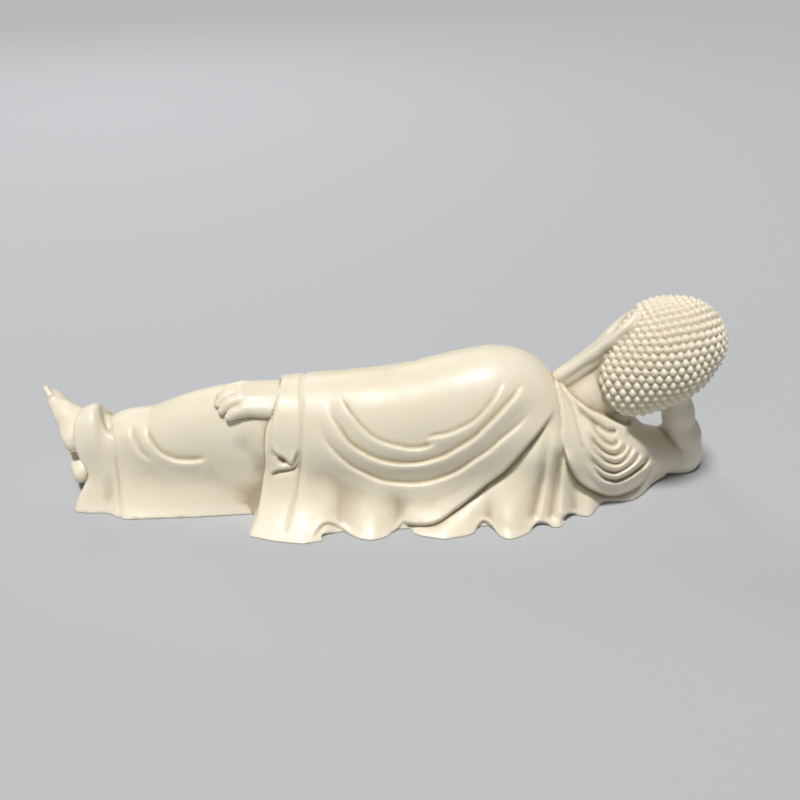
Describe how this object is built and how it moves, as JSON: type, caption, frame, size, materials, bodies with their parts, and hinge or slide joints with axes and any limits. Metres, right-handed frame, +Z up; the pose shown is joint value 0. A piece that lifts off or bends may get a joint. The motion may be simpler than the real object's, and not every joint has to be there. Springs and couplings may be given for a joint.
{
  "type": "reclining buddha statue",
  "caption": "Figure of a buddha lying on the right side in a draped robe, head on the raised hand, carved as one solid with a flat underside.",
  "frame": {"origin": "on the flat underside, below the middle of the body", "axes": "+X along the figure towards the head, +Y towards the face and chest, +Z up"},
  "size_m": [0.19, 0.0528, 0.0564],
  "materials": {
    "cream_resin": "satin, softly polished"
  },
  "bodies": {
    "root": {"reclining_buddha": "cream_resin"}
  },
  "joints": []
}
